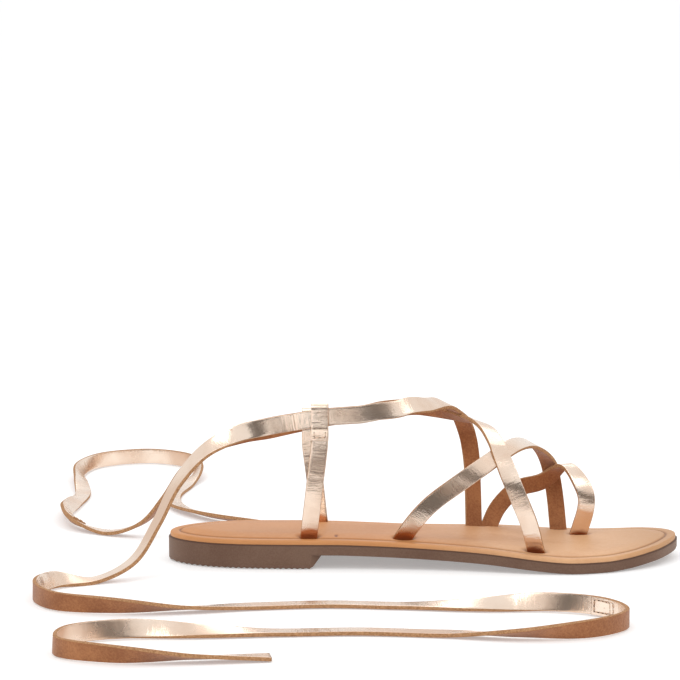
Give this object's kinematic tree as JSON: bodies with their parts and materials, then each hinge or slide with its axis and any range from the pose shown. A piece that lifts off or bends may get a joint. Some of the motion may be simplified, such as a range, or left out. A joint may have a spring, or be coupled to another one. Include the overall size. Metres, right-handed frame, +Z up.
{
  "type": "lace-up gladiator sandal",
  "caption": "Flat right-foot gladiator sandal with crossed metallic straps, a toe loop, keepers beside the heel and long ties lying uncoiled.",
  "frame": {"origin": "middle of the heel's ground face", "axes": "+X runs to the toe, +Y to the inner side of the foot and +Z up"},
  "size_m": [0.3172, 0.4945, 0.0827],
  "materials": {
    "sole_rubber": "matt taupe moulded sole with a finely ridged heel",
    "tan_footbed": "smooth tan covering with a pressed line along its edge",
    "metallic_leather": "creased rose-gold foil outside and brown suede inside"
  },
  "bodies": {
    "root": {"outsole": "sole_rubber", "footbed": "tan_footbed", "upper": "metallic_leather", "keeper_outer": "metallic_leather", "keeper_inner": "metallic_leather", "tie_outer": "metallic_leather", "tie_inner": "metallic_leather"}
  },
  "joints": []
}
